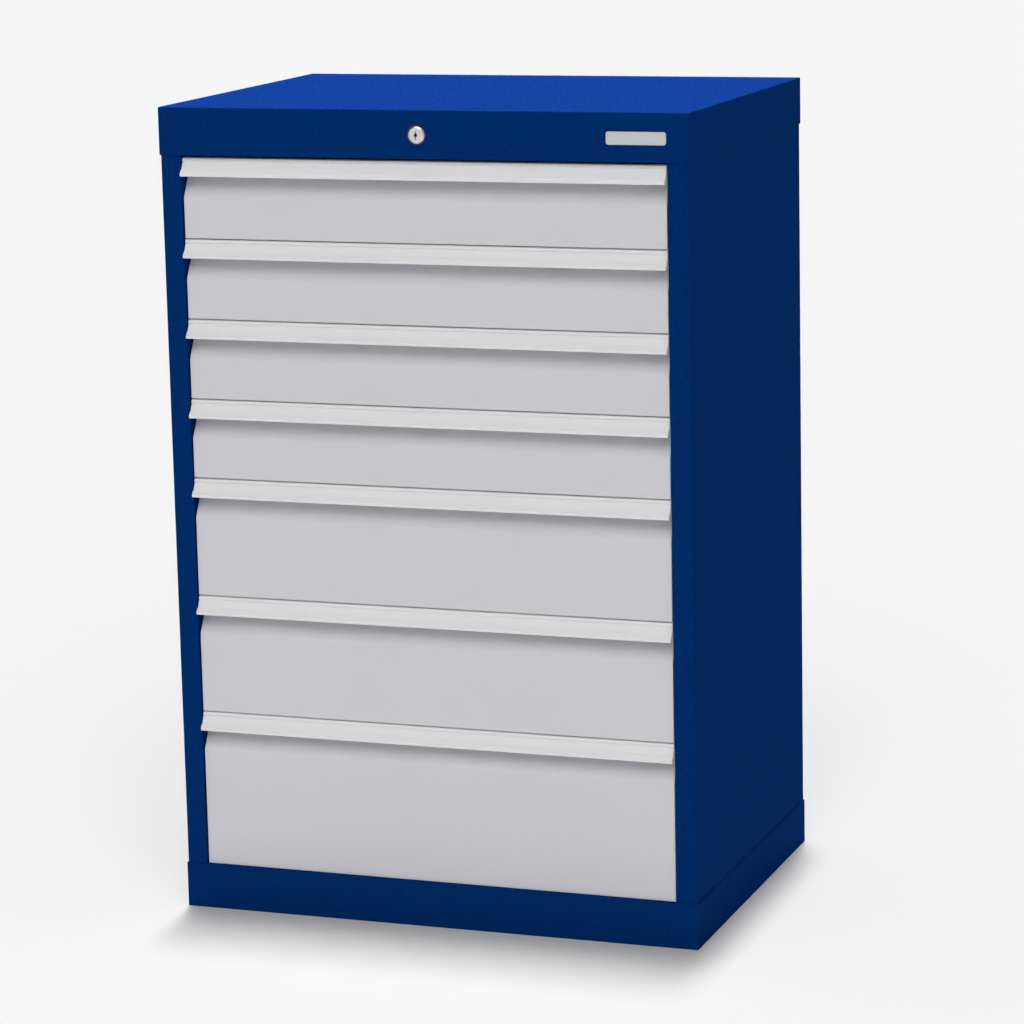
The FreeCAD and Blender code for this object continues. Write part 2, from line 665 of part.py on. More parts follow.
def makeFront(number):
    body = startBody(f"drawer_{number}_front")
    low = size("frontGap")
    high = f"(Sizes.height{number} - Sizes.frontGap)"
    gripFoot = f"({high} - {gripHeight})"
    bendLow = f"({gripFoot} - Sizes.recessHeight)"
    outside = sketchOn(body, "outside", "YZ_Plane")
    outsideCorners = [
        (drawerFace, low),
        (drawerFace, bendLow),
        (gripSeat, gripFoot),
        (gripSeat, high),
        (trayFront, high),
        (trayFront, low),
    ]
    addOutline(outside, outsideCorners)
    pad(body, outside, size("frontWidth"), symmetric=True)
    face = value(drawerFace)
    seat = value(gripSeat)
    lowBend = value(bendLow)
    highBend = value(gripFoot)
    foot = value(low)

    def bent(middle):
        return near(middle.z, lowBend) or (near(middle.z, highBend) and near(middle.y, seat))

    roundOff(body, straightEdges(body.Shape, alongX, bent), size("recessBend"), "recess_bends")
    back = value(trayFront)
    half = value("Sizes.frontWidth / 2")
    ends = []
    for index, edge in enumerate(body.Shape.Edges, start=1):
        middle = edge.CenterOfGravity
        atEnd = near(abs(middle.x), half) and middle.y < back - 1 and middle.z > foot + 1
        if atEnd and middle.y < seat + 0.01 and middle.z < value(high) - 0.01:
            ends.append(f"Edge{index}")
    footEdge = straightEdges(
        body.Shape, alongX, lambda middle: near(middle.y, face) and near(middle.z, foot)
    )
    roundOff(body, ends + footEdge, size("frontEdge"), "edges")
    inside = sketchOn(body, "inside", "YZ_Plane")
    wall = size("frontSheet")
    insideCorners = [
        (f"{drawerFace} + {wall}", f"{low} + {wall}"),
        (f"{drawerFace} + {wall}", bendLow),
        (f"{gripSeat} + {wall}", gripFoot),
        (f"{gripSeat} + {wall}", f"{high} - {wall}"),
        (f"{trayFront} - {wall}", f"{high} - {wall}"),
        (f"{trayFront} - {wall}", f"{low} + {wall}"),
    ]
    addOutline(inside, insideCorners)
    pocket(body, inside, f"Sizes.frontWidth - 2 * {wall}", symmetric=True)
    innerFace = value(f"{drawerFace} + {wall}")
    innerSeat = value(f"{gripSeat} + {wall}")

    def innerBend(middle):
        atLow = near(middle.z, lowBend) and near(middle.y, innerFace)
        return atLow or (near(middle.z, highBend) and near(middle.y, innerSeat))

    roundOff(body, straightEdges(body.Shape, alongX, innerBend), size("recessBend"), "inner_bends")
    mouth = sketchOn(body, "mouth", "XZ_Plane", f"-{trayFront}")
    mouthHalf = "(Sizes.frontWidth / 2 - Sizes.frontReturn)"
    mouthLow = f"{low} + Sizes.frontReturn"
    addOutline(mouth, rectangle(f"-{mouthHalf}", mouthHalf, mouthLow, f"{high} - Sizes.frontReturn"))
    pocket(body, mouth, f"1.5 * {wall}", reverse=True)
    return body


def onLabelFace(down, proud):
    """A point of the leaning label face: how far down it, and how far out of it."""
    along = f"{bandFace} + Sizes.gripTopSetback - ({down}) * {leanSine} - ({proud}) * {leanCosine}"
    up = f"{gripHeight} - Sizes.gripTopDrop - ({down}) * {leanCosine} + ({proud}) * {leanSine}"
    return (along, up)


def makeGrip(number):
    """Grip rail, with its foot at zero before it is lifted."""
    body = startBody(f"drawer_{number}_grip")
    profile = sketchOn(body, "profile", "YZ_Plane")
    wall = size("gripWall")
    bead = size("gripBead")
    slot = size("labelSlot")
    overlap = size("labelOverlap")
    top = gripHeight
    slotTop = labelStart
    slotFoot = f"{labelStart} + Sizes.labelHeight"
    gripCorners = [
        (gripSeat, top),
        (f"{bandFace} + Sizes.gripTopSetback + {wall}", top),
        onLabelFace(size("gripTopEdge"), bead),
        onLabelFace(f"{slotTop} + {overlap}", bead),
        onLabelFace(f"{slotTop} + {overlap}", slot),
        onLabelFace(slotTop, slot),
        onLabelFace(slotTop, "0"),
        onLabelFace(slotFoot, "0"),
        onLabelFace(slotFoot, slot),
        onLabelFace(f"{slotFoot} - {overlap}", slot),
        onLabelFace(f"{slotFoot} - {overlap}", bead),
        onLabelFace(f"{slotFoot} + {overlap}", bead),
        (gripNose, size("gripNoseRise")),
        (f"{gripNose} + Sizes.gripFootInset", "0"),
        (f"{gripNose} + Sizes.gripFootInset + Sizes.gripFootWidth", "0"),
        onLabelFace(f"{slotFoot} + {overlap}", f"-{wall}"),
        onLabelFace("0", f"-{wall}"),
        (f"{bandFace} + Sizes.gripTopSetback + 2 * {wall}", f"{top} - {wall}"),
        (f"{gripSeat} - {wall}", f"{top} - {wall}"),
        (f"{gripSeat} - {wall}", f"{top} - Sizes.gripTail"),
        (gripSeat, f"{top} - Sizes.gripTail"),
    ]
    addOutline(profile, gripCorners)
    pad(body, profile, size("frontWidth"), symmetric=True)
    soft = [(value(along), value(up)) for along, up in gripCorners[1:3] + gripCorners[12:15]]

    def atSoftCorner(middle):
        return any(near(middle.y, along) and near(middle.z, up) for along, up in soft)

    roundOff(body, straightEdges(body.Shape, alongX, atSoftCorner), size("gripEdge"), "edges")
    return body


def makeLabel(number):
    """Blank label strip in the grooves of the grip, with its foot at zero before it is lifted."""
    body = startBody(f"drawer_{number}_label")
    profile = sketchOn(body, "profile", "YZ_Plane")
    slotFoot = f"{labelStart} + Sizes.labelHeight - Sizes.labelSlot + Sizes.labelThickness"
    slotTop = f"{labelStart} + Sizes.labelSlot - Sizes.labelThickness"
    labelCorners = [
        onLabelFace(slotTop, "0"),
        onLabelFace(slotFoot, "0"),
        onLabelFace(slotFoot, size("labelThickness")),
        onLabelFace(slotTop, size("labelThickness")),
    ]
    addOutline(profile, labelCorners)
    pad(body, profile, "Sizes.frontWidth - 2 * Sizes.labelEndGap", symmetric=True)
    return body


def makeDrawer(number):
    foot = f"Layout.foot{number}"
    gripLift = f"{foot} + Sizes.height{number} - Sizes.frontGap - {gripHeight}"
    for build in (makeTray, makeFront, makeInnerSlides, makeMiddleSlides):
        build(number).setExpression("Placement.Base.z", foot)
    for build in (makeGrip, makeLabel):
        build(number).setExpression("Placement.Base.z", gripLift)


# Lock, modelled round the Y axis and then lifted to its level
def makeLockHousing():
    body = startBody("lock_housing")
    half = sketchOn(body, "half", "YZ_Plane")
    bore = "(Sizes.plugRadius + Sizes.plugGap)"
    head = f"{bandFace} - Sizes.lockHeadLength"
    collar = f"{bandFace} - Sizes.lockCollarLength"
    rounding = "0.12 * Sizes.lockHeadRadius"
    tail = f"{bandFace} + Sizes.lockBarrelLength"
    halfCorners = [
        (head, bore),
        (head, f"Sizes.lockHeadRadius - {rounding}"),
        (f"{head} + {rounding}", size("lockHeadRadius")),
        (collar, size("lockHeadRadius")),
        (collar, "Sizes.lockHeadRadius + Sizes.lockCollarRim"),
        (bandFace, "Sizes.lockHeadRadius + Sizes.lockCollarRim"),
        (bandFace, size("lockBarrelRadius")),
        (tail, size("lockBarrelRadius")),
        (tail, bore),
    ]
    addOutline(half, halfCorners)
    revolve(body, half)
    return body


def makeLockNut():
    body = startBody("lock_nut")
    face = sketchOn(body, "face", "XZ_Plane", f"-{postFace}")
    flat = "(Sizes.lockBarrelRadius + Sizes.lockHoleGap + Sizes.nutWall)"
    corner = f"({flat} * 2 / sqrt(3))"
    hexagon = [
        (corner, "0"),
        (f"{corner} / 2", flat),
        (f"-{corner} / 2", flat),
        (f"-{corner}", "0"),
        (f"-{corner} / 2", f"-{flat}"),
        (f"{corner} / 2", f"-{flat}"),
    ]
    addOutline(face, hexagon)
    addCircle(face, "0", "0", "Sizes.lockBarrelRadius + Sizes.lockHoleGap")
    pad(body, face, size("nutLength"), reverse=True)
    return body


def makeLockPlug():
    body = startBody("lock_plug")
    disc = sketchOn(body, "disc", "XZ_Plane", f"-{plugFront}")
    addCircle(disc, "0", "0", size("plugRadius"))
    pad(body, disc, f"{plugBack} - {plugFront}", reverse=True)
    slot = sketchOn(body, "key_slot", "XZ_Plane", f"-{plugFront}")
    half = "Sizes.keySlotWidth / 2"
    tall = "Sizes.keySlotHeight / 2"
    addOutline(slot, rectangle(f"-{half}", half, f"-{tall}", tall))
    pocket(body, slot, size("keySlotDepth"))
    keyHole = sketchOn(body, "key_hole", "XZ_Plane", f"-{plugFront}")
    addCircle(keyHole, "0", "0", size("keyHoleRadius"))
    pocket(body, keyHole, size("keySlotDepth"))
    return body


def makeLockShaft():
    body = startBody("lock_shaft")
    rod = sketchOn(body, "rod", "XZ_Plane", f"-{plugBack}")
    half = "Sizes.shaftWidth / 2"
    addOutline(rod, rectangle(f"-{half}", half, f"-{half}", half))
    pad(body, rod, f"{crankFront} - {plugBack}", reverse=True)
    journal = sketchOn(body, "journal", "XZ_Plane", f"-{crankFront}")
    addCircle(journal, "0", "0", journalRadius)
    pad(body, journal, "2 * Sizes.bearingSheet")
    disc = sketchOn(body, "disc", "XZ_Plane", f"-{crankFront}")
    addCircle(disc, "0", "0", "Sizes.crankRadius + 2 * Sizes.crankPinRadius")
    pad(body, disc, size("crankSheet"), reverse=True)
    pin = sketchOn(body, "pin", "XZ_Plane", f"-{crankBack}")
    addCircle(pin, f"-{crankSwing}", f"-{crankSwing}", size("crankPinRadius"))
    pad(body, pin, f"{barBack} - {crankBack} + Sizes.crankPinProud", reverse=True)
    return body


def makeBearing():
    body = startBody("lock_bearing")
    angle = sketchOn(body, "angle", "YZ_Plane")
    plateBack = f"{crankFront} - Sizes.slideGap"
    plateFront = f"{plateBack} - Sizes.bearingSheet"
    top = f"{panelTop} - {lockLevel}"
    angleCorners = [
        (plateBack, "-Sizes.bearingDrop"),
        (plateBack, top),
        (f"{plateBack} - Sizes.bearingFoot", top),
        (f"{plateBack} - Sizes.bearingFoot", f"{top} - Sizes.bearingSheet"),
        (plateFront, f"{top} - Sizes.bearingSheet"),
        (plateFront, "-Sizes.bearingDrop"),
    ]
    addOutline(angle, angleCorners)
    pad(body, angle, size("bearingWidth"), symmetric=True)
    hole = sketchOn(body, "hole", "XZ_Plane", f"-({plateFront})")
    addCircle(hole, "0", "0", f"{journalRadius} + Sizes.journalGap")
    pocket(body, hole, "3 * Sizes.bearingSheet", symmetric=True)
    return body


def makeLockBar():
    body = startBody("lock_bar")
    face = sketchOn(body, "face", "XZ_Plane", f"-{barFront}")
    half = "Sizes.barWidth / 2"
    head = "Sizes.barHeadWidth / 2"
    slotLevel = f"({lockLevel} - {crankSwing})"
    tail = "Layout.foot7 + Sizes.hookFloor - Sizes.barTail"
    faceCorners = [
        (f"-{half}", tail),
        (half, tail),
        (half, f"{slotLevel} - Sizes.barHeadDrop"),
        (head, f"{slotLevel} - Sizes.barHeadDrop"),
        (head, f"{slotLevel} + Sizes.barHeadRise"),
        (f"-{head}", f"{slotLevel} + Sizes.barHeadRise"),
        (f"-{head}", f"{slotLevel} - Sizes.barHeadDrop"),
        (f"-{half}", f"{slotLevel} - Sizes.barHeadDrop"),
    ]
    addOutline(face, faceCorners)
    pad(body, face, size("barSheet"), reverse=True)
    slot = sketchOn(body, "slot", "XZ_Plane", f"-{barFront}")
    reach = "(Sizes.crankPinRadius + Sizes.crankPinSlack)"
    slotCorners = rectangle(
        f"-Sizes.crankRadius - {reach}",
        f"-{crankSwing} + {reach}",
        f"{slotLevel} - {reach}",
        f"{slotLevel} + {reach}",
    )
    addOutline(slot, slotCorners)
    pocket(body, slot, "3 * Sizes.barSheet", symmetric=True)
    for number in drawerNumbers:
        hook = sketchOn(body, f"hook{number}", "YZ_Plane")
        arm = f"Layout.foot{number} + Sizes.hookFloor"
        tip = f"{arm} + Sizes.hookRise"
        hookCorners = [
            (barFront, arm),
            (hookFront, arm),
            (hookFront, tip),
            (f"{hookFront} + Sizes.hookSheet", tip),
            (f"{hookFront} + Sizes.hookSheet", f"{arm} + Sizes.hookSheet"),
            (barFront, f"{arm} + Sizes.hookSheet"),
        ]
        addOutline(hook, hookCorners)
        pad(body, hook, size("hookWidth"), symmetric=True)


def makeBarGuides():
    body = startBody("lock_bar_guides")
    for number in (1, 5, 7):
        ring = sketchOn(body, f"ring{number}", "XY_Plane", f"Layout.foot{number} + Sizes.guideLevel")
        clearHalf = "(Sizes.barWidth / 2 + Sizes.barGap)"
        outerHalf = f"({clearHalf} + Sizes.guideSide)"
        front = f"{barFront} - Sizes.barGap - Sizes.guideWall"
        addOutline(ring, rectangle(f"-{outerHalf}", outerHalf, front, backInner))
        wayFront = f"{barFront} - Sizes.barGap"
        addOutline(ring, rectangle(f"-{clearHalf}", clearHalf, wayFront, f"{barBack} + Sizes.barGap"))
        pad(body, ring, size("guideHeight"))


def makeLock():
    for build in (makeLockHousing, makeLockNut, makeLockPlug, makeLockShaft, makeBearing):
        build().setExpression("Placement.Base.z", lockLevel)
    makeLockBar()
    makeBarGuides()


# The whole cabinet
makeTopCover()
makeBasePlinth()
makeBottomPlate()
makeSidePanel("left_side_panel", -1)
makeSidePanel("right_side_panel", 1)
makeBackPanel()
makeUprights("left_uprights", -1)
makeUprights("right_uprights", 1)
makeNamePlate()
makeRails("left_slide_rails", -1)
makeRails("right_slide_rails", 1)
for number in drawerNumbers:
    makeDrawer(number)
makeLock()
document.recompute()

# Check every object, then write one file for each piece
for item in document.Objects:
    if "Invalid" in item.State or "Error" in item.State:
        raise RuntimeError(f"{item.Label} failed: {item.State}")
os.makedirs("parts", exist_ok=True)
compounds = document.findObjects("Part::Compound")
inCompounds = {plate.Name for compound in compounds for plate in compound.Links}
pieces = [body for body in document.findObjects("PartDesign::Body") if body.Name not in inCompounds]
for piece in pieces + compounds:
    if piece.Shape.isNull() or not piece.Shape.isValid():
        raise RuntimeError(f"{piece.Label} has no valid shape")
    piece.Shape.exportStep(f"parts/{piece.Label}.step")
    volume = piece.Shape.Volume / 1000
    print(f"{piece.Label:26} {len(piece.Shape.Solids):3} solids {volume:9.2f} cm3")
print("pieces", len(pieces) + len(compounds))
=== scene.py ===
import math

import bmesh
import bpy
from mathutils import Matrix, Vector


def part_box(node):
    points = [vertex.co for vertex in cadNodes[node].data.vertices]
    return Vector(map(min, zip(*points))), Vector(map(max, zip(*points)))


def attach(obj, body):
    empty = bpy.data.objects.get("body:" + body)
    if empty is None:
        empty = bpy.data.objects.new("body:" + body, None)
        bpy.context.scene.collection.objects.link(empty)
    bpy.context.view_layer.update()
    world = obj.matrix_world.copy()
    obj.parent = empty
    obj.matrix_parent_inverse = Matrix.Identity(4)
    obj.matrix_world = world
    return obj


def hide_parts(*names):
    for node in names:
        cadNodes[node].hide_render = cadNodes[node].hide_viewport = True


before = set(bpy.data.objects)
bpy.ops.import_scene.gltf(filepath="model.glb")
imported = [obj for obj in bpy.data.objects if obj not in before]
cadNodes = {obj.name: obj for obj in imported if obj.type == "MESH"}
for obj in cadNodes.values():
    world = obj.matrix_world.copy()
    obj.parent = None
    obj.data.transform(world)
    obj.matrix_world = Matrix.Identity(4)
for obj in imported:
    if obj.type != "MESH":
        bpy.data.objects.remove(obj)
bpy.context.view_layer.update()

drawerNumbers = range(1, 8)  # counted from the top
mm = 0.001
noiseRange = (0.3, 0.7)  # most of what a noise gives lies between these


# small helpers for shader trees

class Wire:  # wraps a shader socket, so that 1 - mask and the like add their Math nodes
    def __init__(self, finish, socket):
        self.finish = finish
        self.socket = socket

    def sum(self, operation, *terms):
        return self.finish.add("ShaderNodeMath", {"operation": operation}, dict(enumerate(terms)))

    def __add__(self, other):
        return self.sum("ADD", self, other)

    def __radd__(self, other):
        return self.sum("ADD", other, self)

    def __sub__(self, other):
        return self.sum("SUBTRACT", self, other)

    def __rsub__(self, other):
        return self.sum("SUBTRACT", other, self)

    def __mul__(self, other):
        return self.sum("MULTIPLY", self, other)

    def __rmul__(self, other):
        return self.sum("MULTIPLY", other, self)

    def __pow__(self, other):
        return self.sum("POWER", self, other)

    def __rpow__(self, other):
        return self.sum("POWER", other, self)

    def __gt__(self, other):
        return self.sum("GREATER_THAN", self, other)

    def __lt__(self, other):
        return self.sum("LESS_THAN", self, other)

    def sine(self):
        return self.sum("SINE", self)


class Finish:  # one material and the nodes in it
    def __init__(self, name):
        self.material = bpy.data.materials.new(name)
        self.material.use_nodes = True
        self.nodes = self.material.node_tree.nodes
        self.links = self.material.node_tree.links
        self.nodes.clear()
        self.output = self.nodes.new("ShaderNodeOutputMaterial")

    def add(self, kind, settings=None, sockets=None, out=0):
        node = self.nodes.new(kind)
        for key, value in (settings or {}).items():
            setattr(node, key, value)
        for key, value in (sockets or {}).items():
            target = findSocket(node.inputs, key)
            if isinstance(value, Wire):
                self.links.new(value.socket, target)
            else:
                target.default_value = value
        return Wire(self, findSocket(node.outputs, out))

    def place(self):  # where a point lies on the cabinet at rest, in metres
        return self.add("ShaderNodeTexCoord", out="Object")

    def stretched(self, factors):
        sockets = {0: self.place(), 1: factors}
        return self.add("ShaderNodeVectorMath", {"operation": "MULTIPLY"}, sockets)

    def noise(self, scale, detail=2.0, roughness=0.5, vector=None):
        sockets = {
            "Vector": vector or self.place(),
            "Scale": scale,
            "Detail": detail,
            "Roughness": roughness,
        }
        return self.add("ShaderNodeTexNoise", {"noise_dimensions": "3D"}, sockets, "Fac")

    def streaks(self, stretch, detail):  # noise drawn out by a different scale along each axis
        return self.noise(1.0, detail, roughness=0.6, vector=self.stretched(stretch))

    def spread(self, value, span, newSpan=(0.0, 1.0)):
        sockets = {
            "Value": value,
            "From Min": span[0],
            "From Max": span[1],
            "To Min": newSpan[0],
            "To Max": newSpan[1],
        }
        return self.add("ShaderNodeMapRange", {"clamp": True}, sockets)

    def mixed(self, factor, first, second, blend="MIX"):
        settings = {"data_type": "RGBA", "blend_type": blend}
        sockets = {"Factor_Float": factor, "A_Color": first, "B_Color": second}
        return self.add("ShaderNodeMix", settings, sockets, "Result_Color")

    def shaded(self, factor, colour, shades):  # from a darker to a lighter shade of one colour
        return self.mixed(factor, tint(colour, shades[0]), tint(colour, shades[1]))

    def split(self, vector):
        first = self.add("ShaderNodeSeparateXYZ", None, {0: vector})
        return [Wire(self, output) for output in first.socket.node.outputs]

    def bump(self, height, distance):
        sockets = {"Height": height, "Distance": distance, "Strength": 1.0}
        return self.add("ShaderNodeBump", None, sockets, "Normal")

    def surface(self, **sockets):
        names = {key.replace("_", " "): value for key, value in sockets.items()}
        return self.finished(self.add("ShaderNodeBsdfPrincipled", None, names, "BSDF"))

    def finished(self, shader):
        self.links.new(shader.socket, self.output.inputs["Surface"])
        return self.material


def findSocket(sockets, key):
    if isinstance(key, int):
        return sockets[key]
    for socket in sockets:
        if socket.identifier == key:
            return socket
    return sockets[key]


def tint(colour, factor=1.0):
    return tuple(min(part * factor, 1.0) for part in colour) + (1.0,)


def blended(first, second, share):  # the share is the second one's
    return first * (1 - share) + second * share


# finishes

paintLook = {
    "blue": (0.0002, 0.0272, 0.143),
    "blueSpeck": 0.22,  # how far the grains differ in colour
    "blueGloss": 0.012,
    "grey": (0.672, 0.658, 0.690),
    "tray": (0.50, 0.495, 0.515),
    "greySpeck": 0.02,
    "greyGloss": 0.05,
    "roughness": (0.39, 0.53),
    "glossRoughness": 0.4,
    "grainSize": 2.0 * mm,
    "grainHeight": 0.035 * mm,
    "grainRange": (0.36, 0.64),  # from the darkest to the lightest grain
    "fineness": 2.7,  # how many times smaller the second grain is
    "fineShare": 0.3,
    "cloudScale": 7.0,  # very faint unevenness over the whole sheet
    "cloudShade": 0.96,
}

paintedSheenLook = {  # painted sheen: faces that look up get a greyer colour and painted glints, standing in for light on their grain
    # the greyer blue of the painted sheen on faces that look up
    "blue": (0.0013, 0.0217, 0.1390),
    "range": (0.7, 0.97),  # upward share of the normal, where this begins and where it is full
    # the colour of the painted glints
    "fleck": (0.012, 0.070, 0.230),
    "fleckSize": 3.5 * mm,
    "fleckDetail": 2.5,
    "fleckRoughness": 0.68,
    "fleckRange": (0.42, 0.65),
    "fleckShare": 0.55,  # how much of the paint a full painted glint hides
}


def powderCoat(name, colour, speck, gloss, withPaintedSheen=False):
    finish = Finish(name)
    grain = finish.noise(1 / paintLook["grainSize"], detail=2.0, roughness=0.6)
    fine = finish.noise(paintLook["fineness"] / paintLook["grainSize"], detail=1.0)
    cloud = finish.noise(paintLook["cloudScale"], detail=3.0)
    peel = blended(grain, fine, paintLook["fineShare"])
    shade = finish.spread(peel, paintLook["grainRange"])
    base = finish.shaded(shade, colour, (1 - speck, 1 + speck))
    # faces that look up get a painted sheen
    if withPaintedSheen:
        base = addPaintedSheen(finish, base)
    veil = finish.shaded(cloud, (1, 1, 1), (paintLook["cloudShade"], 1))
    return finish.surface(
        Base_Color=finish.mixed(1.0, base, veil, "MULTIPLY"),
        Roughness=finish.spread(peel, noiseRange, paintLook["roughness"]),
        Specular_IOR_Level=0.0,
        Coat_Weight=gloss,
        Coat_Roughness=paintLook["glossRoughness"],
        Normal=finish.bump(peel, paintLook["grainHeight"]),
    )


def addPaintedSheen(finish, base):  # painted sheen and glints, only where a face looks up
    upward = finish.split(finish.add("ShaderNodeNewGeometry", out="Normal"))[2]
    level = finish.spread(upward, paintedSheenLook["range"])
    dots = finish.noise(1 / paintedSheenLook["fleckSize"], paintedSheenLook["fleckDetail"],
                        paintedSheenLook["fleckRoughness"])
    paintedGlints = finish.spread(dots, paintedSheenLook["fleckRange"]) * paintedSheenLook["fleckShare"]
    sheenBase = finish.mixed(paintedGlints, tint(paintedSheenLook["blue"]), tint(paintedSheenLook["fleck"]))
    return finish.mixed(level, base, sheenBase)


gripLook = {
    "colour": (0.81, 0.80, 0.80),
    "shades": (0.93, 1.05),
    "roughness": (0.36, 0.5),
    "gloss": 0.3,
    "alongScale": 6,  # the lines run along the rail
    "lineWidth": 0.35 * mm,
    "lineHeight": 0.012 * mm,
    "grainScale": 700.0,
    "grainShare": 0.4,
}


def gripCoat():
    finish = Finish("gripCoat")
    acrossScale = 1 / gripLook["lineWidth"]
    lines = finish.streaks((gripLook["alongScale"], acrossScale, acrossScale), detail=3.0)
    grain = finish.noise(gripLook["grainScale"], detail=2.0)
    shade = finish.spread(lines, noiseRange)
    height = blended(lines, grain, gripLook["grainShare"])
    return finish.surface(
        Base_Color=finish.shaded(shade, gripLook["colour"], gripLook["shades"]),
        Roughness=finish.spread(grain, noiseRange, gripLook["roughness"]),
        Specular_IOR_Level=gripLook["gloss"],
        Normal=finish.bump(height, gripLook["lineHeight"]),
    )


labelLook = {
    "colour": (0.815, 0.805, 0.805),
    "shades": (0.965, 1.02),
    "roughness": (0.5, 0.62),
    "gloss": 0.25,
    "fibreScale": 450.0,
    "fibreHeight": 0.01 * mm,
}


def labelCard():
    finish = Finish("labelCard")
    fibre = finish.noise(labelLook["fibreScale"], detail=4.0, roughness=0.65)
    shade = finish.spread(fibre, noiseRange)
    return finish.surface(
        Base_Color=finish.shaded(shade, labelLook["colour"], labelLook["shades"]),
        Roughness=finish.spread(fibre, noiseRange, labelLook["roughness"]),
        Specular_IOR_Level=labelLook["gloss"],
        Normal=finish.bump(fibre, labelLook["fibreHeight"]),
    )


zincLook = {
    "light": (0.50, 0.52, 0.55),
    "dark": (0.26, 0.28, 0.31),
    "roughness": (0.28, 0.44),
    "shadeRange": (0.35, 0.65),
    "alongScale": 8,
    "acrossScale": 900,
    "lineHeight": 0.006 * mm,
    "patchScale": 26.0,
    "patchShare": 0.45,
}


def zincCoat(name, axis):  # the streaks run along this axis, as the sheet was rolled
    finish = Finish(name)
    stretch = [zincLook["acrossScale"]] * 3
    stretch["XYZ".index(axis)] = zincLook["alongScale"]
    lines = finish.streaks(stretch, detail=4.0)
    patch = finish.noise(zincLook["patchScale"], detail=3.0)
    shade = finish.spread(blended(lines, patch, zincLook["patchShare"]), zincLook["shadeRange"])
    return finish.surface(
        Base_Color=finish.mixed(shade, tint(zincLook["dark"]), tint(zincLook["light"])),
        Metallic=1.0,
        Roughness=finish.spread(lines, noiseRange, zincLook["roughness"]),
        Normal=finish.bump(lines, zincLook["lineHeight"]),
    )


lockLook = {
    "metal": (0.88, 0.88, 0.86),
    "shades": (0.86, 1.06),
    "roughness": (0.28, 0.42),
    "smudgeScale": 160.0,
    "smudgeShare": 0.3,
    "ringPitch": 0.42 * mm,
    "ringHeight": 0.004 * mm,
    # painted shade inside the keyhole, dark as a deep slot in shade
    "paintedSlotShade": (0.012, 0.012, 0.014),
    "slotShadeStart": 0.5 * mm,  # painted shade darkens the keyhole from here inwards
    "slotShadeFull": 2.5 * mm,
    "plugRim": 0.1 * mm,  # no painted shade this near to the plug's edge
    "collar": (0.004, 0.016, 0.060),  # the collar behind the head is dark
    "collarStart": 10.35 * mm,
}


def lockMetal():
    finish = Finish("lockMetal")
    low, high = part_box("lock_plug")
    x, y, z = finish.split(finish.place())
    across = z - (low.z + high.z) / 2
    radius = (x * x + across * across) ** 0.5
    rings = (radius * (2 * math.pi / lockLook["ringPitch"])).sine() * 0.5 + 0.5
    smudge = finish.noise(lockLook["smudgeScale"], detail=3.0)
    # painted shade: the keyhole gets darker with depth behind the plug's face
    deep = finish.spread(y, (low.y + lockLook["slotShadeStart"], low.y + lockLook["slotShadeFull"]))
    inSlot = deep * (radius < high.x - lockLook["plugRim"])
    base = finish.shaded(smudge, lockLook["metal"], lockLook["shades"])
    onCollar = radius > lockLook["collarStart"]
    base = finish.mixed(onCollar, base, tint(lockLook["collar"]))
    height = blended(rings, smudge, lockLook["smudgeShare"])
    return finish.surface(
        Base_Color=finish.mixed(inSlot, base, tint(lockLook["paintedSlotShade"])),
        Metallic=1.0 - onCollar,
        Roughness=finish.spread(smudge, noiseRange, lockLook["roughness"]),
        Normal=finish.bump(height, lockLook["ringHeight"]),
    )


plateLook = {
    "colour": (0.655, 0.65, 0.66),
    "shades": (0.93, 1.05),
    "metallic": 0.35,
    "roughness": (0.33, 0.46),
    "alongScale": 40,  # brushed from left to right
    "acrossScale": 3200,
    "lineHeight": 0.004 * mm,
}


def plateMetal():
    finish = Finish("plateMetal")
    acrossScale = plateLook["acrossScale"]
    lines = finish.streaks((plateLook["alongScale"], acrossScale, acrossScale), detail=3.0)
    shade = finish.spread(lines, noiseRange)
    return finish.surface(
        Base_Color=finish.shaded(shade, plateLook["colour"], plateLook["shades"]),
        Metallic=plateLook["metallic"],
        Roughness=finish.spread(lines, noiseRange, plateLook["roughness"]),
        Normal=finish.bump(lines, plateLook["lineHeight"]),
    )


guideLook = {
    "dark": (0.016, 0.016, 0.017),
    "light": (0.03, 0.03, 0.032),
    "roughness": (0.45, 0.6),
    "grainScale": 1500.0,
    "grainHeight": 0.02 * mm,
}


def guidePlastic():
    finish = Finish("guidePlastic")
    grain = finish.noise(guideLook["grainScale"], detail=2.0)
    return finish.surface(
        Base_Color=finish.mixed(grain, tint(guideLook["dark"]), tint(guideLook["light"])),
        Roughness=finish.spread(grain, noiseRange, guideLook["roughness"]),
        Normal=finish.bump(grain, guideLook["grainHeight"]),
    )


polishLook = {  # balls and rivets
    "dark": (0.55, 0.56, 0.58),
    "light": (0.68, 0.69, 0.70),
    "roughness": (0.1, 0.2),
    "hazeScale": 900.0,
    "hazeHeight": 0.002 * mm,
}


def ballMetal():
    finish = Finish("ballMetal")
    haze = finish.noise(polishLook["hazeScale"], detail=2.0)
    return finish.surface(
        Base_Color=finish.mixed(haze, tint(polishLook["dark"]), tint(polishLook["light"])),
        Metallic=1.0,
        Roughness=finish.spread(haze, noiseRange, polishLook["roughness"]),
        Normal=finish.bump(haze, polishLook["hazeHeight"]),
    )


greyKind = (paintLook["greySpeck"], paintLook["greyGloss"])
